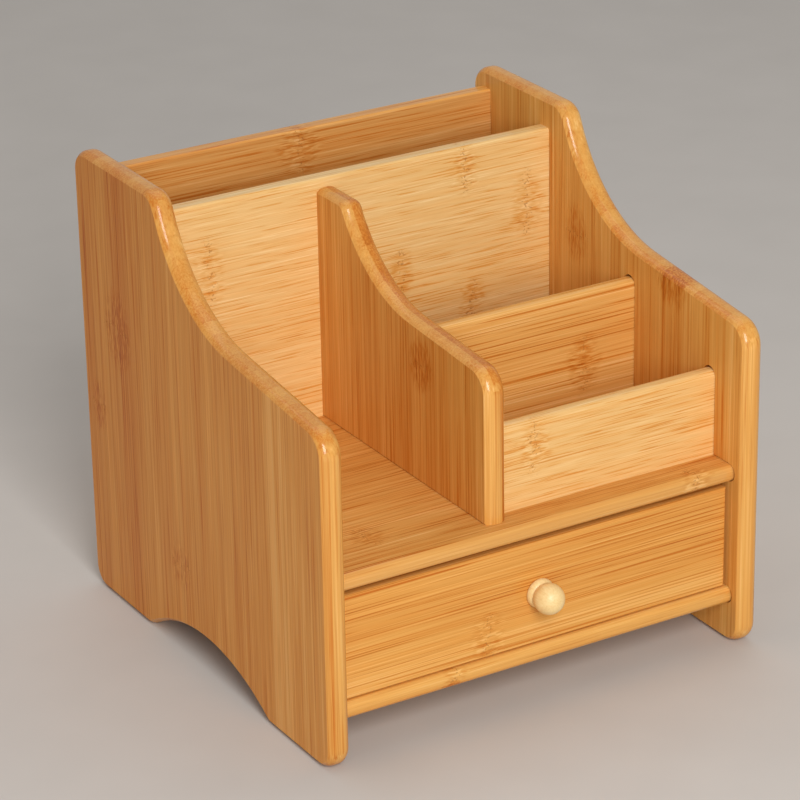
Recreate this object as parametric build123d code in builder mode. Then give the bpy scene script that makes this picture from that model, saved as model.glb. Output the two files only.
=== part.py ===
"""Bamboo desk organizer: a letter slot, three open trays and one drawer.

X runs to the right, Y to the back, Z up. The origin is on the desk, in the middle of the whole object.
The case is glued up from boards that sit in routed grooves, and the drawer slides on the base board.
"""

import os
from math import radians, sqrt, tan

from build123d import *

# Side panels
inner_width = 200.0
side_thickness = 10.0
side_depth = 218.0
side_height = 214.7
edge_round = 5.0
arris_depth = 1.0
rear_corner_radius = 10.0
foot_corner_radius = 10.0
front_corner_radius = 12.0

# The swept top of a side panel, from its rear end to its front
side_crest_length = 68.3
side_crest_radius = 10.9
side_fall_length = 3.4
side_sweep_radius = 73.7
side_fall_angle = 65.1
side_front_slope = 6.4

# The arch between the feet of a side panel
front_foot_length = 53.5
rear_foot_length = 54.5
arch_rise = 16.0
toe_radius = 6.0

# Routed grooves
housing_depth = 3.0
housing_fit = 0.3

# Back panel
back_thickness = 8.0
back_drop = 8.7
back_inset = 7.3

# Rear divider, the front wall of the letter slot
rear_divider_thickness = 8.0
rear_divider_drop = 13.5
letter_slot_depth = 41.8
notch_height = 9.0
top_ease = 1.5

# Base board and deck board, and the round-over of their fronts and of the divider tops
board_round = 3.0
base_clearance = 19.4
base_thickness = 8.0
base_setback = 6.5
drawer_bay_height = 51.6
deck_thickness = 8.0
deck_setback = 6.5

# Centre divider, with its swept top
left_tray_width = 77.0
centre_divider_thickness = 10.0
centre_divider_setback = 13.8
centre_divider_drop = 18.0
divider_crest_length = 19.0
divider_crest_radius = 5.5
divider_fall_length = 1.8
divider_sweep_radius = 68.0
divider_fall_angle = 57.7
divider_front_slope = 4.4
divider_foot_ease = 0.5

# Right-hand dividers
tray_front_thickness = 8.0
tray_front_height = 40.0
tray_front_setback = 21.3
front_pocket_depth = 54.0
cross_divider_thickness = 8.0
cross_divider_height = 62.3

# Countersunk screws under the centre divider
divider_screw_diameter = 3.0
divider_screw_head_diameter = 6.0
divider_screw_grip = 18.0
divider_screw_tip = 4.0
divider_screw_inset = 28.0
divider_screw_angle = 90.0
screw_fit = 0.1

# Drawer
drawer_recess = 8.6
drawer_side_gap = 1.5
drawer_lift = 0.3
drawer_stop_gap = 0.5
drawer_front_thickness = 10.0
drawer_top_gap = 2.8
drawer_front_ease = 1.5
drawer_rabbet_depth = 5.0
drawer_side_thickness = 8.0
drawer_side_drop = 8.0
drawer_back_thickness = 8.0

# Drawer bottom, a thin panel in grooves
bottom_thickness = 4.0
bottom_rise = 5.0
bottom_groove_depth = 4.0
bottom_groove_fit = 0.1
bottom_end_gap = 0.3

# Brads that pin the drawer together
pin_diameter = 1.4
pin_grip = 11.0
pin_inset = 7.0
pin_fit = 0.05
bottom_pin_count = 3

# Turned knob and its screw
knob_ball_radius = 6.9
knob_neck_inset = 1.5
knob_collar_radius = 6.7
knob_collar_length = 3.3
knob_collar_bulge = 0.5
knob_seat_gap = 0.5
knob_seat_inset = 1.2
knob_screw_diameter = 3.5
knob_screw_head_diameter = 7.0
knob_screw_head_height = 2.2
knob_screw_grip = 8.0
knob_screw_dome = 1.2

cut_overrun = 1.0

# Places across the width
inner_left = -inner_width / 2
inner_right = inner_width / 2
housed_width = inner_width + 2 * housing_depth
centre_left = inner_left + left_tray_width
centre_right = centre_left + centre_divider_thickness

# The knob's ball meets its collar at the neck
neck_radius = knob_ball_radius - knob_neck_inset
ball_middle = knob_collar_length + sqrt(knob_ball_radius**2 - neck_radius**2)
knob_length = ball_middle + knob_ball_radius

# Places from front to back: the knob stands out in front of the side panels
knob_overhang = max(knob_length - drawer_recess, 0)
front = (knob_overhang - side_depth) / 2
rear = front + side_depth
back_rear = rear - back_inset
back_face = back_rear - back_thickness
slot_front = back_face - letter_slot_depth
rear_divider_face = slot_front - rear_divider_thickness
deck_front = front + deck_setback
base_front = front + base_setback
centre_front = front + centre_divider_setback
tray_face = front + tray_front_setback
tray_rear = tray_face + tray_front_thickness
cross_face = tray_rear + front_pocket_depth
cross_rear = cross_face + cross_divider_thickness

# Levels
base_top = base_clearance + base_thickness
deck_under = base_top + drawer_bay_height
deck_top = deck_under + deck_thickness
back_top = side_height - back_drop
rear_divider_top = side_height - rear_divider_drop
centre_top = side_height - centre_divider_drop
cross_top = deck_top + cross_divider_height
tray_top = deck_top + tray_front_height

# The drawer's own places
drawer_width = inner_width - 2 * drawer_side_gap
drawer_right = drawer_width / 2
drawer_inside = drawer_right - drawer_side_thickness
drawer_face = front + drawer_recess
drawer_front_rear = drawer_face + drawer_front_thickness
rabbet_face = drawer_front_rear - drawer_rabbet_depth
drawer_rear = back_face - drawer_stop_gap
drawer_back_face = drawer_rear - drawer_back_thickness
drawer_under = base_top + drawer_lift
drawer_top = deck_under - drawer_top_gap
drawer_side_top = drawer_top - drawer_side_drop
drawer_side_height = drawer_side_top - drawer_under
bottom_under = drawer_under + bottom_rise
bottom_top = bottom_under + bottom_thickness
knob_level = (drawer_under + drawer_top) / 2

os.makedirs("parts", exist_ok=True)


def swept_top(rear_end, top, front_end, crest_length, crest_radius, fall_length, sweep_radius, fall_angle, slope):
    """Top edge of a panel: flat crest, shoulder, short fall, hollow sweep and a nearly level run to the front."""
    crest = Line((rear_end, top), (rear_end - crest_length, top))
    shoulder = JernArc(crest @ 1, crest % 1, crest_radius, fall_angle)
    fall = PolarLine(shoulder @ 1, fall_length, direction=shoulder % 1)
    sweep = JernArc(fall @ 1, fall % 1, sweep_radius, slope - fall_angle)
    low = sweep @ 1
    run = Line(low, (front_end, low.Y - (low.X - front_end) * tan(radians(slope))))
    return run @ 1


def groove(start, end, thickness):
    """A routed groove with round ends, whose axis runs from start to end, for a board of this thickness."""
    axis = Vector(*end) - Vector(*start)
    middle = (Vector(*start) + Vector(*end)) / 2
    with Locations((middle.X, middle.Y)):
        SlotCenterToCenter(
            axis.length,
            thickness + 2 * housing_fit,
            rotation=Vector(1, 0).get_signed_angle(axis),
        )


def side_grooves():
    """Grooves that both side panels have: base, deck, back panel and rear divider."""
    base_middle = base_clearance + base_thickness / 2
    deck_middle = deck_under + deck_thickness / 2
    back_middle = back_face + back_thickness / 2
    divider_middle = rear_divider_face + rear_divider_thickness / 2
    groove((base_front + board_round, base_middle), (back_face, base_middle), base_thickness)
    groove((deck_front + board_round, deck_middle), (back_face, deck_middle), deck_thickness)
    groove((back_middle, base_clearance), (back_middle, back_top - notch_height), back_thickness)
    groove((divider_middle, deck_top), (divider_middle, rear_divider_top - notch_height), rear_divider_thickness)


def divider_grooves():
    """Grooves for the two right-hand dividers, with round ends that show above the boards."""
    cross_middle = cross_face + cross_divider_thickness / 2
    tray_middle = tray_face + tray_front_thickness / 2
    groove((cross_middle, deck_top), (cross_middle, cross_top - board_round), cross_divider_thickness)
    groove((tray_middle, deck_top), (tray_middle, tray_top - board_round), tray_front_thickness)


def notched_board(bottom, top):
    """Front view of a board whose ends are notched at the top, so that it hides the ends of its grooves."""
    height = top - bottom
    with Locations((0, bottom)):
        Rectangle(inner_width, height, align=(Align.CENTER, Align.MIN))
        Rectangle(housed_width, height - notch_height, align=(Align.CENTER, Align.MIN))


def pin_places(depth):
    """A place for each brad that goes through the drawer sides at this depth, with its way in."""
    for hand in (1, -1):
        for level in (bottom_top + pin_inset, drawer_side_top - pin_inset):
            yield Plane((hand * drawer_right, depth, level), z_dir=(-hand, 0, 0))


front_pin_depth = (rabbet_face + drawer_front_rear) / 2
back_pin_depth = (drawer_back_face + drawer_rear) / 2
bottom_pin_step = 2 * drawer_inside / bottom_pin_count


def bottom_pin_places():
    """Places for the brads that go up through the drawer bottom into the drawer back."""
    for index in range(bottom_pin_count):
        across = bottom_pin_step * (index + 1 / 2) - drawer_inside
        yield Plane((across, back_pin_depth, bottom_under), z_dir=(0, 0, 1))


def pin_holes(places, reach):
    """Holes for a row of brads, from their heads to their points."""
    with Locations(*places):
        Cylinder(
            pin_diameter / 2 + pin_fit,
            reach,
            align=(Align.CENTER, Align.CENTER, Align.MIN),
            mode=Mode.SUBTRACT,
        )


def pins(places, length):
    """A row of brads, flush with the wood at their heads."""
    with Locations(*places):
        Cylinder(pin_diameter / 2, length, align=(Align.CENTER, Align.CENTER, Align.MIN))


side_pin_length = drawer_side_thickness + pin_grip
bottom_pin_length = bottom_thickness + pin_grip


# Side panels: a blank rounded over on every edge, planed on both faces to a crisp arris, then grooved inside
arch_start = (front + front_foot_length, 0)
arch_end = (rear - rear_foot_length, 0)
arch_crown = ((arch_start[0] + arch_end[0]) / 2, arch_rise)

with BuildPart() as left_side_panel:
    with BuildSketch(Plane.YZ.offset(inner_left - side_thickness - arris_depth)) as side_outline:
        with BuildLine():
            front_top = swept_top(
                rear,
                side_height,
                front,
                side_crest_length,
                side_crest_radius,
                side_fall_length,
                side_sweep_radius,
                side_fall_angle,
                side_front_slope,
            )
            Polyline(front_top, (front, 0), arch_start)
            ThreePointArc(arch_start, arch_crown, arch_end)
            Polyline(arch_end, (rear, 0), (rear, side_height))
        make_face()
        fillet(side_outline.vertices().group_by(Axis.Y)[0].sort_by(Axis.X)[1:-1], radius=toe_radius)
        ground = side_outline.vertices().group_by(Axis.Y)[0].sort_by(Axis.X)
        fillet([ground[0], ground[-1]], radius=foot_corner_radius)
        fillet(side_outline.vertices().group_by(Axis.Y)[-1].sort_by(Axis.X)[-1], radius=rear_corner_radius)
        fillet(side_outline.vertices().group_by(Axis.X)[0].sort_by(Axis.Y)[-1], radius=front_corner_radius)
    extrude(amount=side_thickness + 2 * arris_depth)
    fillet(left_side_panel.faces().filter_by(Axis.X).edges(), radius=edge_round)
    split(bisect_by=Plane.YZ.offset(inner_left - side_thickness), keep=Keep.TOP)
    split(bisect_by=Plane.YZ.offset(inner_left), keep=Keep.BOTTOM)
    with BuildSketch(Plane.YZ.offset(inner_left)):
        side_grooves()
    extrude(amount=-housing_depth, mode=Mode.SUBTRACT)
left_side_panel.part.label = "left_side_panel"
export_step(left_side_panel.part, "parts/left_side_panel.step")

with BuildPart() as right_side_panel:
    mirror(left_side_panel.part, about=Plane.YZ)
    with BuildSketch(Plane.YZ.offset(inner_right)):
        divider_grooves()
    extrude(amount=housing_depth, mode=Mode.SUBTRACT)
right_side_panel.part.label = "right_side_panel"
export_step(right_side_panel.part, "parts/right_side_panel.step")

# Back panel: reaches from the base board's underside to above the letter slot
with BuildPart() as back_panel:
    with BuildSketch(Plane.XZ.offset(-back_face)):
        notched_board(base_clearance, back_top)
    extrude(amount=-back_thickness)
    fillet(back_panel.edges().filter_by(Axis.X).group_by(Axis.Z)[-1], radius=top_ease)
back_panel.part.label = "back_panel"
export_step(back_panel.part, "parts/back_panel.step")

# Rear divider: stands on the deck board
with BuildPart() as rear_divider:
    with BuildSketch(Plane.XZ.offset(-rear_divider_face)):
        notched_board(deck_top, rear_divider_top)
    extrude(amount=-rear_divider_thickness)
    fillet(rear_divider.edges().filter_by(Axis.X).group_by(Axis.Z)[-1], radius=top_ease)
rear_divider.part.label = "rear_divider"
export_step(rear_divider.part, "parts/rear_divider.step")

# Base board and deck board: rounded over at the front
with BuildPart() as base_board:
    with BuildSketch(Plane.XY.offset(base_clearance)):
        with Locations((0, base_front)):
            Rectangle(housed_width, back_face - base_front, align=(Align.CENTER, Align.MIN))
    extrude(amount=base_thickness)
    fillet(base_board.edges().filter_by(Axis.X).group_by(Axis.Y)[0], radius=board_round)
base_board.part.label = "base_board"
export_step(base_board.part, "parts/base_board.step")

divider_screw_middle = (centre_left + centre_right) / 2
divider_screw_depths = (centre_front + divider_screw_inset, rear_divider_face - divider_screw_inset)
divider_screw_places = [
    Plane((divider_screw_middle, depth, deck_under), z_dir=(0, 0, -1)) for depth in divider_screw_depths
]

with BuildPart() as deck_board:
    with BuildSketch(Plane.XY.offset(deck_under)):
        with Locations((0, deck_front)):
            Rectangle(housed_width, back_face - deck_front, align=(Align.CENTER, Align.MIN))
    extrude(amount=deck_thickness)
    fillet(deck_board.edges().filter_by(Axis.X).group_by(Axis.Y)[0], radius=board_round)
    with Locations(*divider_screw_places):
        CounterSinkHole(
            divider_screw_diameter / 2 + screw_fit,
            divider_screw_head_diameter / 2 + screw_fit,
            depth=deck_thickness + cut_overrun,
            counter_sink_angle=divider_screw_angle,
        )
deck_board.part.label = "deck_board"
export_step(deck_board.part, "parts/deck_board.step")

# Centre divider: stands on the deck board and butts on the rear divider
with BuildPart() as centre_divider:
    with BuildSketch(Plane.YZ.offset(centre_left - arris_depth)) as divider_outline:
        with BuildLine():
            front_top = swept_top(
                rear_divider_face,
                centre_top,
                centre_front,
                divider_crest_length,
                divider_crest_radius,
                divider_fall_length,
                divider_sweep_radius,
                divider_fall_angle,
                divider_front_slope,
            )
            Polyline(
                front_top,
                (centre_front, deck_top),
                (rear_divider_face, deck_top),
                (rear_divider_face, centre_top),
            )
        make_face()
        fillet(divider_outline.vertices().group_by(Axis.X)[0].sort_by(Axis.Y)[-1], radius=front_corner_radius)
    extrude(amount=centre_divider_thickness + 2 * arris_depth)
    rims = centre_divider.faces().filter_by(Axis.X).edges()
    fillet(rims - rims.group_by(Axis.Z)[0] - rims.group_by(Axis.Y)[-1], radius=edge_round)
    split(bisect_by=Plane.YZ.offset(centre_left), keep=Keep.TOP)
    split(bisect_by=Plane.YZ.offset(centre_right), keep=Keep.BOTTOM)
    chamfer(centre_divider.faces().sort_by(Axis.Z)[0].edges().filter_by(Axis.Y), length=divider_foot_ease)
    with BuildSketch(Plane.YZ.offset(centre_right)):
        divider_grooves()
    extrude(amount=-housing_depth, mode=Mode.SUBTRACT)
    with BuildSketch(Plane.XY.offset(deck_top)):
        with Locations(*[(divider_screw_middle, depth) for depth in divider_screw_depths]):
            Circle(divider_screw_diameter / 2 + screw_fit)
    extrude(amount=divider_screw_grip + screw_fit, mode=Mode.SUBTRACT)
centre_divider.part.label = "centre_divider"
export_step(centre_divider.part, "parts/centre_divider.step")

# Right-hand dividers: housed in the centre divider and in the right side panel
pocket_left = centre_right - housing_depth
pocket_right = inner_right + housing_depth
pocket_middle = (pocket_left + pocket_right) / 2

with BuildPart() as cross_divider:
    with BuildSketch(Plane.XZ.offset(-cross_face)):
        with Locations((pocket_middle, deck_top)):
            Rectangle(pocket_right - pocket_left, cross_divider_height, align=(Align.CENTER, Align.MIN))
    extrude(amount=-cross_divider_thickness)
    fillet(cross_divider.edges().filter_by(Axis.X).group_by(Axis.Z)[-1], radius=board_round)
cross_divider.part.label = "cross_divider"
export_step(cross_divider.part, "parts/cross_divider.step")

with BuildPart() as tray_front:
    with BuildSketch(Plane.XZ.offset(-tray_face)):
        with Locations((pocket_middle, deck_top)):
            Rectangle(pocket_right - pocket_left, tray_front_height, align=(Align.CENTER, Align.MIN))
    extrude(amount=-tray_front_thickness)
    fillet(tray_front.edges().filter_by(Axis.X).group_by(Axis.Z)[-1], radius=board_round)
tray_front.part.label = "tray_front"
export_step(tray_front.part, "parts/tray_front.step")

# Countersunk screws, flush with the deck board's underside
screw_shank = divider_screw_diameter / 2
screw_head = divider_screw_head_diameter / 2
screw_head_height = (screw_head - screw_shank) / tan(radians(divider_screw_angle / 2))
divider_screw_length = deck_thickness + divider_screw_grip

with BuildPart() as divider_screws:
    for depth in divider_screw_depths:
        with BuildSketch(Plane((divider_screw_middle, depth, deck_under), x_dir=(1, 0, 0), z_dir=(0, -1, 0))):
            with BuildLine():
                Polyline(
                    (0, 0),
                    (screw_head, 0),
                    (screw_shank, screw_head_height),
                    (screw_shank, divider_screw_length - divider_screw_tip),
                    (0, divider_screw_length),
                    close=True,
                )
            make_face()
        revolve(axis=Axis((divider_screw_middle, depth, deck_under), (0, 0, 1)))
divider_screws.part.label = "divider_screws"
export_step(divider_screws.part, "parts/divider_screws.step")

# Drawer front: rabbeted behind for the sides, grooved for the bottom, bored for the knob's screw
with BuildPart() as drawer_front:
    with BuildSketch(Plane.XZ.offset(-drawer_face)):
        with Locations((0, drawer_under)):
            Rectangle(drawer_width, drawer_top - drawer_under, align=(Align.CENTER, Align.MIN))
    extrude(amount=-drawer_front_thickness)
    fillet(drawer_front.faces().sort_by(Axis.Y)[0].edges(), radius=drawer_front_ease)
    with BuildSketch(Plane.XZ.offset(-drawer_front_rear)):
        with Locations((drawer_right, drawer_under), (-drawer_right, drawer_under)):
            Rectangle(2 * drawer_side_thickness, 2 * drawer_side_height)
    extrude(amount=drawer_rabbet_depth, mode=Mode.SUBTRACT)
    with BuildSketch(Plane.XZ.offset(-drawer_front_rear)):
        with Locations((0, bottom_under - bottom_groove_fit)):
            Rectangle(
                drawer_width,
                bottom_thickness + 2 * bottom_groove_fit,
                align=(Align.CENTER, Align.MIN),
            )
    extrude(amount=bottom_groove_depth, mode=Mode.SUBTRACT)
    with BuildSketch(Plane.XZ.offset(-drawer_front_rear)):
        with Locations((0, knob_level)):
            Circle(knob_screw_diameter / 2 + screw_fit)
    extrude(amount=drawer_front_thickness + cut_overrun, mode=Mode.SUBTRACT)
    pin_holes(pin_places(front_pin_depth), side_pin_length + pin_fit)
drawer_front.part.label = "drawer_front"
export_step(drawer_front.part, "parts/drawer_front.step")

# Drawer sides: from the rabbet to the drawer's rear end, grooved for the bottom
with BuildPart() as drawer_right_side:
    with BuildSketch(Plane.YZ.offset(drawer_inside)):
        with Locations((rabbet_face, drawer_under)):
            Rectangle(drawer_rear - rabbet_face, drawer_side_height, align=(Align.MIN, Align.MIN))
    extrude(amount=drawer_side_thickness)
    with BuildSketch(Plane.YZ.offset(drawer_inside)):
        with Locations((rabbet_face, bottom_under - bottom_groove_fit)):
            Rectangle(
                drawer_rear - rabbet_face,
                bottom_thickness + 2 * bottom_groove_fit,
                align=(Align.MIN, Align.MIN),
            )
    extrude(amount=bottom_groove_depth, mode=Mode.SUBTRACT)
    pin_holes(pin_places(front_pin_depth), side_pin_length + pin_fit)
    pin_holes(pin_places(back_pin_depth), side_pin_length + pin_fit)
drawer_right_side.part.label = "drawer_right_side"
export_step(drawer_right_side.part, "parts/drawer_right_side.step")

with BuildPart() as drawer_left_side:
    mirror(drawer_right_side.part, about=Plane.YZ)
drawer_left_side.part.label = "drawer_left_side"
export_step(drawer_left_side.part, "parts/drawer_left_side.step")

# Drawer back: between the sides, standing on the bottom panel
with BuildPart() as drawer_back:
    with BuildSketch(Plane.XZ.offset(-drawer_back_face)):
        with Locations((0, bottom_top)):
            Rectangle(2 * drawer_inside, drawer_side_top - bottom_top, align=(Align.CENTER, Align.MIN))
    extrude(amount=-drawer_back_thickness)
    pin_holes(pin_places(back_pin_depth), side_pin_length + pin_fit)
    pin_holes(bottom_pin_places(), bottom_pin_length + pin_fit)
drawer_back.part.label = "drawer_back"
export_step(drawer_back.part, "parts/drawer_back.step")

# Drawer bottom: slid in from the rear, under the drawer back
bottom_reach = bottom_groove_depth - bottom_end_gap
with BuildPart() as drawer_bottom:
    with BuildSketch(Plane.XY.offset(bottom_under)):
        with Locations((0, drawer_front_rear - bottom_reach)):
            Rectangle(
                2 * (drawer_inside + bottom_reach),
                drawer_rear - drawer_front_rear + bottom_reach,
                align=(Align.CENTER, Align.MIN),
            )
    extrude(amount=bottom_thickness)
    pin_holes(bottom_pin_places(), bottom_pin_length + pin_fit)
drawer_bottom.part.label = "drawer_bottom"
export_step(drawer_bottom.part, "parts/drawer_bottom.step")

# Brads
with BuildPart() as front_pins:
    pins(pin_places(front_pin_depth), side_pin_length)
front_pins.part.label = "front_pins"
export_step(front_pins.part, "parts/front_pins.step")

with BuildPart() as back_pins:
    pins(pin_places(back_pin_depth), side_pin_length)
back_pins.part.label = "back_pins"
export_step(back_pins.part, "parts/back_pins.step")

with BuildPart() as bottom_pins:
    pins(bottom_pin_places(), bottom_pin_length)
bottom_pins.part.label = "bottom_pins"
export_step(bottom_pins.part, "parts/bottom_pins.step")

# Knob: a turned ball on a short bead, with a blind hole for its screw; the profile's Y points out of the drawer
knob_plane = Plane((0, drawer_face, knob_level), x_dir=(1, 0, 0), z_dir=(0, 0, -1))
knob_axis = Axis((0, drawer_face, knob_level), (0, -1, 0))

with BuildPart() as drawer_knob:
    with BuildSketch(knob_plane):
        with BuildLine():
            Line((0, knob_length), (0, 0))
            Polyline((0, 0), (knob_collar_radius - knob_seat_inset, 0), (knob_collar_radius, knob_seat_gap))
            ThreePointArc(
                (knob_collar_radius, knob_seat_gap),
                (
                    (knob_collar_radius + neck_radius) / 2 + knob_collar_bulge,
                    (knob_seat_gap + knob_collar_length) / 2,
                ),
                (neck_radius, knob_collar_length),
            )
            ThreePointArc(
                (neck_radius, knob_collar_length),
                (knob_ball_radius, ball_middle),
                (0, knob_length),
            )
        make_face()
    revolve(axis=knob_axis)
    with BuildSketch(Plane.XZ.offset(-drawer_face)):
        with Locations((0, knob_level)):
            Circle(knob_screw_diameter / 2 + screw_fit)
    extrude(amount=knob_screw_grip + screw_fit, mode=Mode.SUBTRACT)
drawer_knob.part.label = "drawer_knob"
export_step(drawer_knob.part, "parts/drawer_knob.step")

with BuildPart() as knob_screw:
    with BuildSketch(Plane.XZ.offset(-drawer_front_rear)):
        with Locations((0, knob_level)):
            Circle(knob_screw_head_diameter / 2)
    extrude(amount=-knob_screw_head_height)
    fillet(knob_screw.faces().sort_by(Axis.Y)[-1].edges(), radius=knob_screw_dome)
    with BuildSketch(Plane.XZ.offset(-drawer_front_rear)):
        with Locations((0, knob_level)):
            Circle(knob_screw_diameter / 2)
    extrude(amount=drawer_front_thickness + knob_screw_grip)
knob_screw.part.label = "knob_screw"
export_step(knob_screw.part, "parts/knob_screw.step")
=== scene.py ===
"""Looks for the bamboo desk organizer: laminated boards, a pale turned knob and bright steel fasteners."""

from math import radians
from typing import NamedTuple

import bpy
from mathutils import Color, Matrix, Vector

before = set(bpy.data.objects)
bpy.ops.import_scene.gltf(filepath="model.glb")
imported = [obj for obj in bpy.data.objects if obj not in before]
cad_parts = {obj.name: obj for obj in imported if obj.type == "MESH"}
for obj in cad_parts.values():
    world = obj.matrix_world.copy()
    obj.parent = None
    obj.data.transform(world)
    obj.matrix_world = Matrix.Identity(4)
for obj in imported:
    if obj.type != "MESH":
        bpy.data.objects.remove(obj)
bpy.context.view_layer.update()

MILLIMETRES = 1000.0

# A Mix node has sockets for every kind of data: these are its share, its two colours and the mixed colour
MIX_SHARE, MIX_FIRST, MIX_SECOND, MIX_RESULT = 0, 6, 7, 2


def colour(red, green, blue):
    """A colour given as it is seen on a screen, 0 to 255, for a node's socket."""
    seen = Color((red / 255, green / 255, blue / 255))
    return (*seen.from_srgb_to_scene_linear(), 1.0)


class Value:
    """One output of a recipe's nodes, used in plain sums."""

    def __init__(self, recipe, socket):
        self.recipe = recipe
        self.socket = socket

    def also(self, output):
        """Another output of the node that this value comes from."""
        return Value(self.recipe, self.socket.node.outputs[output])

    def maths(self, operation, *terms):
        return self.recipe.node("ShaderNodeMath", {"operation": operation}, dict(enumerate(terms)))

    def __add__(self, other):
        return self.maths("ADD", self, other)

    def __radd__(self, other):
        return self.maths("ADD", other, self)

    def __sub__(self, other):
        return self.maths("SUBTRACT", self, other)

    def __rsub__(self, other):
        return self.maths("SUBTRACT", other, self)

    def __mul__(self, other):
        return self.maths("MULTIPLY", self, other)

    def __rmul__(self, other):
        return self.maths("MULTIPLY", other, self)

    def __truediv__(self, other):
        return self.maths("DIVIDE", self, other)

    def __pow__(self, other):
        return self.maths("POWER", self, other)

    def __abs__(self):
        return self.maths("ABSOLUTE", self)

    def floor(self):
        return self.maths("FLOOR", self)

    def most(self, other):
        return self.maths("MAXIMUM", self, other)

    def swing(self):
        """How far a value between 0 and 1 is from its middle."""
        return self - 0.5

    def rise(self, low, high):
        """0 below low, 1 above high, and a smooth step between them."""
        settings = {"interpolation_type": "SMOOTHSTEP"}
        inputs = {"Value": self, "From Min": low, "From Max": high}
        return self.recipe.node("ShaderNodeMapRange", settings, inputs)


class Recipe:
    """The nodes of one material or of the world, made one by one."""

    def __init__(self, tree):
        self.tree = tree
        self.tree.nodes.clear()

    def node(self, kind, settings, inputs, output=0):
        """Adds a node, gives it its settings and then its inputs, and returns an output, if it has any."""
        made = self.tree.nodes.new(kind)
        for setting, value in settings.items():
            if setting == "stops":
                stops = made.color_ramp.elements
                while len(stops) < len(value):
                    stops.new(1.0)
                for stop, (place, shade) in zip(stops, value):
                    stop.position = place
                    stop.color = shade
            else:
                setattr(made, setting, value)
        for place, value in inputs.items():
            if isinstance(value, Value):
                self.tree.links.new(value.socket, made.inputs[place])
            else:
                made.inputs[place].default_value = value
        return Value(self, made.outputs[output]) if made.outputs else None


class Finish(Recipe):
    """One material, whose pattern is worked out in millimetres on the object."""

    def __init__(self, name):
        self.material = bpy.data.materials.new(name)
        self.material.use_nodes = True
        super().__init__(self.material.node_tree)
        metres = self.node("ShaderNodeTexCoord", {}, {}, "Object")
        split = self.node("ShaderNodeSeparateXYZ", {}, {0: metres}, "X")
        self.places = {
            "x": split * MILLIMETRES,
            "y": split.also("Y") * MILLIMETRES,
            "z": split.also("Z") * MILLIMETRES,
        }

    def noise(self, x, y, z, detail=2.0, roughness=0.5):
        """Cloudy noise about 0.5, with a cloud to each whole step of x, y and z."""
        place = self.node("ShaderNodeCombineXYZ", {}, {0: x, 1: y, 2: z})
        inputs = {"Vector": place, "Scale": 1.0, "Detail": detail, "Roughness": roughness}
        return self.node("ShaderNodeTexNoise", {}, inputs)

    def chance(self, number):
        """A fixed random number between 0 and 1 for each whole number."""
        return self.node("ShaderNodeTexWhiteNoise", {"noise_dimensions": "1D"}, {"W": number})

    def ramp(self, value, stops):
        return self.node("ShaderNodeValToRGB", {"stops": stops}, {0: value})

    def mix(self, share, first, second, blend="MIX"):
        settings = {"data_type": "RGBA", "blend_type": blend}
        inputs = {MIX_SHARE: share, MIX_FIRST: first, MIX_SECOND: second}
        return self.node("ShaderNodeMix", settings, inputs, MIX_RESULT)

    def surface(self, shade, roughness, others, height=None, bump=0.4):
        """Ends the finish in one shader, with a bump where a height in millimetres is given."""
        inputs = {"Base Color": shade, "Roughness": roughness, **others}
        if height is not None:
            relief = {"Strength": bump, "Distance": 1 / MILLIMETRES, "Height": height}
            inputs["Normal"] = self.node("ShaderNodeBump", {}, relief)
        shader = self.node("ShaderNodeBsdfPrincipled", {}, inputs)
        self.node("ShaderNodeOutputMaterial", {}, {"Surface": shader})
        return self.material


GOLDEN_TONES = [
    (0.0, colour(178, 94, 20)),
    (0.3, colour(204, 125, 43)),
    (0.55, colour(217, 153, 73)),
    (0.8, colour(227, 167, 86)),
    (1.0, colour(238, 186, 111)),
]
PALE_TONES = [
    (0.0, colour(204, 124, 44)),
    (0.3, colour(221, 155, 74)),
    (0.55, colour(230, 182, 114)),
    (0.8, colour(237, 194, 130)),
    (1.0, colour(246, 211, 154)),
]
PORE_BROWN = colour(172, 106, 44)
RUSSET = (1.0, 0.92, 0.8, 1.0)


class Layer(NamedTuple):
    """One layer of the bamboo's noise: clouds per millimetre along and across the grain, and its start."""

    along: float
    across: float
    start: float = 0.0
    detail: float = 2.0
    roughness: float = 0.5


WANDER = Layer(0.08, 0.25)
BANDS = Layer(0.004, 0.25, start=9.0)
HUES = Layer(0.005, 0.4, start=17.0, detail=1.0)
KNOTS = Layer(0.2, 1.0, start=3.0, detail=1.0)
SPECKS = Layer(0.5, 1.3, start=11.0, roughness=0.7)
PORES = Layer(0.9, 1.1, start=23.0, detail=1.0)

# Hairs are finer than the fibres of the same board, along the grain and across it
HAIRS_ALONG, HAIRS_ACROSS = 1.5, 1.7

# How squarely a surface faces along the grain before it shows as end grain
END_GRAIN = (0.3, 0.75)

# How squarely a surface faces through the board before it counts as flat, and no longer as the rim
FLAT_FACE = (0.9, 0.98)

# Between these a surface turns from the near tint to the far one, by how it faces through the board
NEAR_FACE = (-0.95, -0.7)

# Soft edges: in millimetres for a core's length, a seam and a band of ply and rim shading, otherwise as
# shares of a size or a noise
KNUCKLE_EDGE = (0.15, 1.0)
CORE_LENGTH = (0.8, 3.0)
CORE_WIDTH = (0.6, 1.0)
SEAM_EDGE = (0.1, 0.35)
PLY_AND_SHADING_EDGE = 0.15
DARK_DASH = (0.56, 0.62)
LIGHT_DASH = (0.37, 0.43)
DARK_KNOT = (0.45, 0.65)
LIGHT_KNOT = (0.36, 0.46)
PORE_DOT = (0.57, 0.66)
RUSSET_PATCH = (0.4, 0.66)

# How far, in millimetres, fibres are pushed along the grain and across it at a knuckle, and in each strip
KNUCKLE_PUSH, SIDE_PUSH, STRIP_PUSH = 10.0, 3.0, 900.0

# The strips are counted from well off the board, and on each next board from a little further on
STRIPS_START, STRIPS_STEP = 400.0, 3.7

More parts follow.
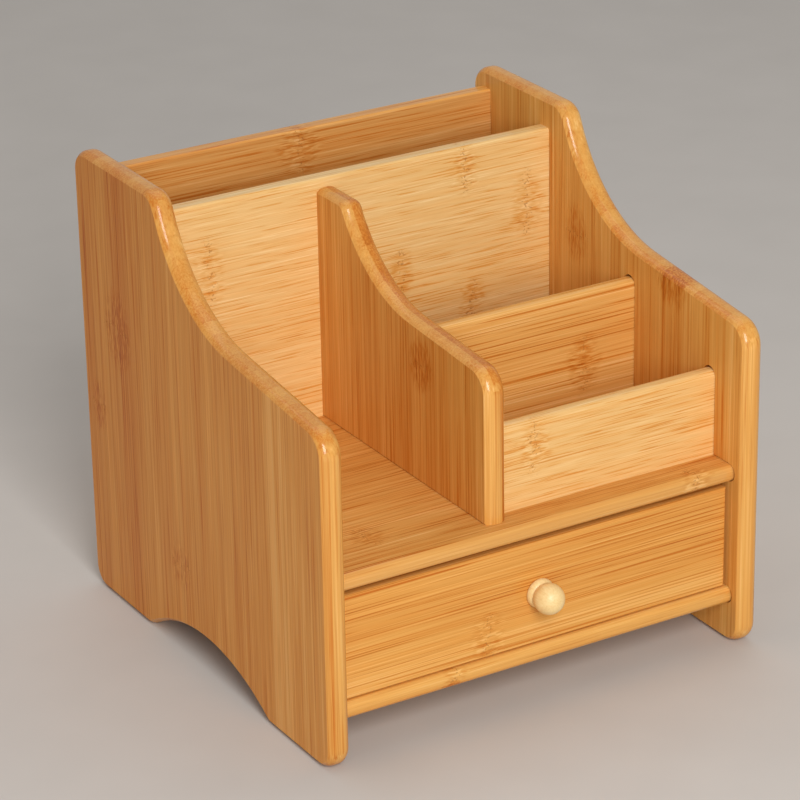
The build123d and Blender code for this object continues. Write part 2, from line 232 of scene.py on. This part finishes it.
# The bamboo's middle level on its tones, and how much each mark adds to it or takes from it
MIDDLE_LEVEL = 0.66
STRIP_VARIETY = 0.2
HAIR_STRENGTH = 0.6
LIGHT_DASH_SHARE = 0.5
SPECK_STRENGTH = 0.9
FLECK_LIGHTER = 0.28
END_DARKER = 0.15
SEAM_DARKER = 0.06
KNOT_DARKER = 0.2
GLOOM_DARKER = 0.35
RIM_BANDS, END_BANDS = 0.6, 1.2
PORE_SHARE, RUSSET_SHARE = 0.6, 0.7

# The bamboo's relief in millimetres, its roughness and its coat of lacquer
HAIR_HEIGHT, DASH_DEPTH, SEAM_DEPTH, SPECK_HEIGHT = 0.05, 0.02, 0.03, 0.2
PLAIN_ROUGHNESS, FIBRE_ROUGHNESS, PORE_ROUGHNESS = 0.46, 0.2, 0.2
COAT, RIM_COAT = 0.2, 0.35

# The first board's noise starts here, and each next board's one step further
FIRST_SEED, SEED_STEP = 1.0, 13.0


class Knuckle(NamedTuple):
    """A joint of the cane, and how dark it is. Lengths are in millimetres, along the grain or across it."""

    along: float
    across: float
    half_length: float
    half_width: float
    dark: float


class DarkerBand(NamedTuple):
    """A band of a board's flat faces that is darker by a share, between two places across the grain that
    end softly.
    """

    low: float
    high: float
    soft: float
    darker: float


class PlyAndRimShading(NamedTuple):
    """Where a band starts on the axis through a board, and how much lighter it makes the rim than the band
    before. The bands are partly real plies and partly painted light and shade on the rounded rims.
    """

    start: float
    lighter: float


class Look(NamedTuple):
    """What sets one board's bamboo apart: lengths in millimetres, strengths as shares of the tones.

    Strip is the width of a laminated strip, and pitch and length are those of a fibre. Streak and band are
    how strongly the fibres and the broad bands show, and calm is how much weaker both are on the rim.
    Tint is on the whole board, or where there is a far tint, only on the face towards the negative end of
    the axis through the board, with the far tint on the rest; that near tint is partly painted shade.
    """

    tones: list
    strip: float
    pitch: float
    length: float
    streak: float
    band: float
    tint: tuple = (1.0, 1.0, 1.0)
    far_tint: tuple = ()
    calm: float = 0.0
    toned_strips: tuple = ()
    plies: tuple = ()


class Board(NamedTuple):
    """The axis along a board's grain, the axis across its strips, its knuckles and its look."""

    grain: str
    across: str
    knuckles: list
    look: Look


def bamboo(name, board, seed):
    """Lacquered laminated bamboo: strips side by side, fibres along the grain, and the board's knuckles."""
    finish = Finish(name)
    look = board.look
    through = "xyz".replace(board.grain, "").replace(board.across, "")
    along, over, depth = (finish.places[axis] for axis in (board.grain, board.across, through))

    def cloud(layer, ahead, aside):
        below = depth * layer.across + (seed + layer.start)
        return finish.noise(ahead * layer.along, aside * layer.across, below, layer.detail, layer.roughness)

    outward = finish.node("ShaderNodeTexCoord", {}, {}, "Normal")
    facing = finish.node("ShaderNodeSeparateXYZ", {}, {0: outward})
    end = abs(facing.also(board.grain.upper())).rise(*END_GRAIN)
    turn = facing.also(through.upper())
    rim = 1.0 - abs(turn).rise(*FLAT_FACE)

    wander = cloud(WANDER, along, over).swing()
    halo = core = gloom = along * 0.0
    for knuckle in board.knuckles:
        ahead = abs(along - knuckle.along + wander * KNUCKLE_PUSH)
        beside = abs(over - knuckle.across) / knuckle.half_width
        spot = 1.0 - ((ahead / knuckle.half_length) ** 2 + beside**2).rise(*KNUCKLE_EDGE)
        halo = halo.most(spot)
        gloom = gloom.most(spot * knuckle.dark)
        core = core.most((1.0 - ahead.rise(*CORE_LENGTH)) * (1.0 - beside.rise(*CORE_WIDTH)) * (1.0 - end))

    strip = (over + (seed * STRIPS_STEP + STRIPS_START)) / look.strip
    luck = finish.chance(strip.floor() + seed)
    seam = 1.0 - ((0.5 - abs((strip - strip.floor()).swing())) * look.strip).rise(*SEAM_EDGE)
    run = along + halo * wander * KNUCKLE_PUSH + luck * STRIP_PUSH
    sway = over + halo * wander * SIDE_PUSH
    fibre = cloud(Layer(1.0 / look.length, 1.0 / look.pitch, roughness=0.6), run, sway)
    hair = cloud(Layer(HAIRS_ALONG / look.length, HAIRS_ACROSS / look.pitch, detail=1.0), run, sway)
    broad = cloud(BANDS, run, sway)
    hue = cloud(HUES, run, sway)
    knot = cloud(KNOTS, along, over)
    speck = cloud(SPECKS, along, over)
    dark_dash = fibre.rise(*DARK_DASH)
    light_dash = 1.0 - fibre.rise(*LIGHT_DASH)
    # Darker and lighter bands across the grain on the flat faces, on the left panel painted light and shade
    band_shift = along * 0.0
    for low, high, soft, darker in look.toned_strips:
        inside = over.rise(low - soft, low + soft) * (1.0 - over.rise(high - soft, high + soft))
        band_shift = band_shift + inside * darker
    # Bands through the board that lighten or darken the rim: partly real plies, partly painted light and
    # shade on the rounded rims
    ply_and_rim_shading = along * 0.0
    for start, lighter in look.plies:
        ply_and_rim_shading = ply_and_rim_shading + depth.rise(start - PLY_AND_SHADING_EDGE, start + PLY_AND_SHADING_EDGE) * lighter

    dashes = (light_dash * LIGHT_DASH_SHARE - dark_dash) * look.streak * (1.0 - rim * look.calm)
    level = (
        MIDDLE_LEVEL
        - band_shift * (1.0 - rim)
        + luck.swing() * STRIP_VARIETY
        + ply_and_rim_shading * rim
        - end * END_DARKER
        + broad.swing() * look.band * (1.0 + rim * (RIM_BANDS - look.calm) - end * END_BANDS)
        + (1.0 - end) * (hair.swing() * HAIR_STRENGTH + dashes)
        - seam * SEAM_DARKER
        - halo * knot.rise(*DARK_KNOT) * KNOT_DARKER
        - gloom * GLOOM_DARKER
        + end * speck.swing() * SPECK_STRENGTH
    )
    pore = cloud(PORES, along, over).rise(*PORE_DOT) * core
    fleck = halo * (1.0 - gloom) * (1.0 - knot.rise(*LIGHT_KNOT))
    shade = finish.ramp(level + fleck * FLECK_LIGHTER, look.tones)
    shade = finish.mix(pore * PORE_SHARE, shade, PORE_BROWN)
    shade = finish.mix(hue.rise(*RUSSET_PATCH) * RUSSET_SHARE, shade, RUSSET, "MULTIPLY")
    # Where a board has a far tint, the near tint is partly painted shade on the face that lies in shade
    tint = finish.mix(turn.rise(*NEAR_FACE), (*look.tint, 1.0), (*(look.far_tint or look.tint), 1.0))
    shade = finish.mix(1.0, shade, tint, "MULTIPLY")
    height = hair * HAIR_HEIGHT - dark_dash * DASH_DEPTH - seam * SEAM_DEPTH + end * speck * SPECK_HEIGHT
    roughness = PLAIN_ROUGHNESS + fibre.swing() * FIBRE_ROUGHNESS + pore * PORE_ROUGHNESS
    lacquer = {
        "Specular IOR Level": 0.14,
        "Coat Weight": COAT + rim * RIM_COAT,
        "Coat Roughness": 0.12,
        "Coat IOR": 1.5,
    }
    return finish.surface(shade, roughness, lacquer, height)


def turned_beech(name):
    """The knob's pale close-grained wood, with faint rings from the lathe."""
    finish = Finish(name)
    x, y, z = (finish.places[axis] for axis in "xyz")
    fleck = finish.noise(x * 1.6, y * 0.22, z * 1.6, roughness=0.6)
    cloud = finish.noise(x * 0.3, y * 0.12, z * 0.3 + 5.0)
    rings = finish.noise(y * 3.0, 0.5, 0.5, detail=1.0)
    tones = [(0.0, colour(226, 181, 114)), (0.5, colour(242, 207, 143)), (1.0, colour(251, 225, 168))]
    shade = finish.ramp(0.55 + fleck.swing() * 0.9 + cloud.swing() * 0.6, tones)
    roughness = 0.44 + fleck.swing() * 0.15
    height = rings * 0.03 + fleck * 0.02
    wax = {"Specular IOR Level": 0.4, "Coat Weight": 0.15, "Coat Roughness": 0.25}
    return finish.surface(shade, roughness, wax, height)


def plated_steel(name):
    """Bright zinc plating, a little dulled and clouded."""
    finish = Finish(name)
    x, y, z = (finish.places[axis] * 1.1 for axis in "xyz")
    cloud = finish.noise(x, y, z, detail=3.0, roughness=0.6)
    shade = finish.ramp(cloud, [(0.25, colour(150, 152, 156)), (0.75, colour(206, 208, 210))])
    return finish.surface(shade, 0.26 + cloud * 0.2, {"Metallic": 1.0}, cloud * 0.02, bump=0.3)


def plain_paint(name, shade):
    """An even matt finish for the floor."""
    finish = Finish(name)
    grit = finish.noise(finish.places["x"] * 0.02, finish.places["y"] * 0.02, 0.0)
    tones = [(0.3, colour(*(part - 3 for part in shade))), (0.7, colour(*shade))]
    return finish.surface(finish.ramp(grit, tones), 0.75 + grit * 0.1, {"Specular IOR Level": 0.2})


def dress(node, material):
    """Gives a carried-over piece its finish."""
    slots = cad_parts[node].data.materials
    slots.clear()
    slots.append(material)


SIDE = Look(GOLDEN_TONES, strip=8.0, pitch=1.2, length=90.0, streak=0.24, band=0.75)
LINED = Look(GOLDEN_TONES, strip=19.0, pitch=0.8, length=60.0, streak=0.3, band=0.5)
FLECKED = Look(PALE_TONES, strip=19.0, pitch=0.7, length=36.0, streak=0.34, band=0.3)
BOARDS = {
    "left_side_panel": Board(
        "z",
        "y",
        [Knuckle(138, 76, 22, 15, 0.3), Knuckle(95, 98, 15, 9, 0.25), Knuckle(44, 24, 14, 11, 0.2)],
        SIDE._replace(
            # The outer face's warmer, darker tint is partly the board's tone and partly painted shade of
            # that face; the inner face keeps the far tint
            tint=(1.0, 0.86, 0.73),
            far_tint=(0.98, 0.98, 0.98),
            # Painted light over the front of the flat faces and painted shade over their rear, as the light
            # falls off towards the rear
            toned_strips=(DarkerBand(50, 130, 20, 0.1), DarkerBand(-130, -56, 18, -0.14)),
            # The rim is darker over its outer 3.3 mm than inward: partly plies, partly painted shade on the
            # rounded rim
            plies=(PlyAndRimShading(-120.0, -0.06), PlyAndRimShading(-106.7, 0.1)),
        ),
    ),
    "right_side_panel": Board(
        "z",
        "y",
        [
            Knuckle(157, 24, 16, 11, 0.5),
            Knuckle(160, -51, 16, 15, 0.55),
            Knuckle(58, -78, 12, 10, 0.3),
            Knuckle(96, 74, 12, 10, 0.3),
            Knuckle(36, 40, 10, 9, 0.2),
        ],
        SIDE._replace(
            tint=(1.02, 1.03, 1.03),
            # Rim darker at its inner third and a little darker again at its outer third: partly the real
            # plies seen on the front edge, partly painted shade on the outer rounding
            plies=(PlyAndRimShading(90.0, -0.05), PlyAndRimShading(103.3, 0.15), PlyAndRimShading(106.7, -0.05)),
        ),
    ),
    "centre_divider": Board(
        "z",
        "y",
        [Knuckle(143, -40, 16, 11, 0.7)],
        SIDE._replace(
            toned_strips=(DarkerBand(-72, -18, 12, 0.14),),
            # The far 5.5 mm of the rim, the rounding turned away from the key light, is painted darker:
            # painted shade
            plies=(PlyAndRimShading(-30.0, 0.03), PlyAndRimShading(-18.5, -0.25)),
        ),
    ),
    "back_panel": Board(
        "x",
        "z",
        [
            Knuckle(-3, 197, 14, 16, 0.1),
            Knuckle(-58, 104, 10, 12, 0.3),
            Knuckle(44, 62, 10, 12, 0.2),
            Knuckle(72, 148, 10, 11, 0.3),
        ],
        LINED._replace(
            # The slot face's darker tint is partly the board's own tone and partly painted shade of the
            # narrow slot; the back face keeps the far tint
            tint=(0.9, 0.9, 1.12),
            far_tint=(1.0, 0.98, 1.0),
            # Darker band from 160 to 186.6 mm up, just above the rear divider's top edge, on both flat
            # faces
            toned_strips=(DarkerBand(160.0, 186.6, 0.2, 0.16),),
        ),
    ),
    "rear_divider": Board(
        "x",
        "z",
        [
            Knuckle(-77, 168, 9, 19, 0.3),
            Knuckle(55, 190, 8, 15, 0.1),
            Knuckle(88, 167, 11, 20, 0.4),
            Knuckle(19, 147, 9, 14, 0.5),
            Knuckle(58, 126, 9, 12, 0.4),
        ],
        FLECKED._replace(tint=(0.99, 1.02, 1.03)),
    ),
    "cross_divider": Board(
        "x",
        "z",
        [Knuckle(73, 115, 11, 17, 0.4)],
        LINED._replace(length=120.0, streak=0.45, tint=(1.0, 1.06, 1.25)),
    ),
    "tray_front": Board("x", "z", [Knuckle(6, 114, 10, 15, 0.2)], FLECKED),
    "deck_board": Board(
        "x",
        "y",
        [
            Knuckle(-70, -72, 9, 12, 0.35),
            Knuckle(81, -99, 9, 11, 0.1),
            Knuckle(32, 22, 9, 11, 0.3),
            Knuckle(-58, 42, 9, 11, 0.2),
        ],
        # The whole rim, nosing included, is 0.2 lighter: painted light where the nose catches the light
        LINED._replace(streak=0.4, tint=(0.94, 0.94, 1.02), calm=0.8, plies=(PlyAndRimShading(70.0, 0.2),)),
    ),
    "base_board": Board(
        "x",
        "y",
        [Knuckle(-44, -100, 7, 7, 0.15), Knuckle(62, -40, 9, 11, 0.3), Knuckle(-12, 30, 9, 11, 0.2)],
        LINED._replace(streak=0.2, tint=(1.03, 1.06, 1.1)),
    ),
    "drawer_front": Board(
        "x",
        "z",
        [Knuckle(-26, 38, 10, 14, 0.0)],
        LINED._replace(
            length=130.0,
            streak=0.4,
            tint=(0.98, 0.94, 0.9),
            toned_strips=(DarkerBand(50, 90, 12, 0.14), DarkerBand(10, 42, 8, -0.14)),
        ),
    ),
    "drawer_left_side": Board("y", "z", [Knuckle(-20, 50, 9, 11, 0.2)], FLECKED),
    "drawer_right_side": Board("y", "z", [Knuckle(34, 44, 9, 11, 0.2)], FLECKED),
    "drawer_back": Board("x", "z", [Knuckle(40, 52, 9, 11, 0.2)], FLECKED),
    "drawer_bottom": Board(
        "x",
        "y",
        [Knuckle(-50, -30, 9, 11, 0.2), Knuckle(30, 20, 9, 11, 0.2), Knuckle(64, -64, 8, 10, 0.2)],
        FLECKED,
    ),
}
for count, (node, board) in enumerate(BOARDS.items()):
    dress(node, bamboo(f"bamboo_{node}", board, FIRST_SEED + SEED_STEP * count))

dress("drawer_knob", turned_beech("pale_turned_wood"))
steel = plated_steel("zinc_plated_steel")
for node in ("divider_screws", "knob_screw", "front_pins", "back_pins", "bottom_pins"):
    dress(node, steel)

FLOOR_SIZE = 12.0
FLOOR_GREY = (206, 200, 194)

bpy.ops.object.select_all(action="DESELECT")
bpy.ops.mesh.primitive_plane_add(size=FLOOR_SIZE, location=(0.0, 0.0, 0.0))
floor = bpy.context.object
floor.name = "floor"
floor.data.materials.append(plain_paint("pale_floor", FLOOR_GREY))

# The light from all round is stronger from behind the object than from its front
STUDIO_WHITE = (1.0, 0.99, 0.97, 1.0)
REAR_GLOW = {"From Min": -0.2, "From Max": 0.7, "To Min": 0.26, "To Max": 0.52}

world = bpy.data.worlds.new("studio")
world.use_nodes = True
sky = Recipe(world.node_tree)
heading = sky.node("ShaderNodeTexCoord", {}, {}, "Generated")
rearward = sky.node("ShaderNodeSeparateXYZ", {}, {0: heading}, "Y")
smooth = {"interpolation_type": "SMOOTHSTEP"}
glow = sky.node("ShaderNodeMapRange", smooth, {"Value": rearward, **REAR_GLOW})
light = sky.node("ShaderNodeBackground", {}, {"Color": STUDIO_WHITE, "Strength": glow})
sky.node("ShaderNodeOutputWorld", {}, {"Surface": light})
bpy.context.scene.world = world

AIM = Vector((0.0, 0.0, 0.11))


def soft_light(name, heading, distance, width, height, power):
    """An oblong light, off along a heading from the middle of the object and turned to face it."""
    lamp = bpy.data.lights.new(name, "AREA")
    lamp.shape = "RECTANGLE"
    lamp.size = width
    lamp.size_y = height
    lamp.energy = power
    holder = bpy.data.objects.new(name, lamp)
    bpy.context.collection.objects.link(holder)
    reach = Vector(heading).normalized() * distance
    holder.location = AIM + reach
    holder.rotation_euler = reach.to_track_quat("Z", "Y").to_euler()


soft_light("key", heading=(-0.27, -0.85, 0.452), distance=1.8, width=0.6, height=1.1, power=26.0)
soft_light("overhead", heading=(0.1, 0.25, 1.0), distance=1.6, width=1.4, height=1.4, power=5.0)

# The camera's place in metres, its turn in degrees, its lens in millimetres and how far it sees in metres
CAMERA_PLACE = (-0.72802, -1.20925, 0.72427)
CAMERA_TURN = (66.3584, 0.9821, -31.1348)
FOCAL_LENGTH = 155.79
SENSOR_WIDTH = 36.0
FARTHEST_SEEN = 50.0

lens = bpy.data.cameras.new("camera")
lens.lens = FOCAL_LENGTH
lens.sensor_width = SENSOR_WIDTH
lens.clip_end = FARTHEST_SEEN
camera = bpy.data.objects.new("camera", lens)
bpy.context.collection.objects.link(camera)
camera.location = CAMERA_PLACE
camera.rotation_euler = [radians(turn) for turn in CAMERA_TURN]
bpy.context.scene.camera = camera
bpy.context.scene.view_settings.view_transform = "Standard"
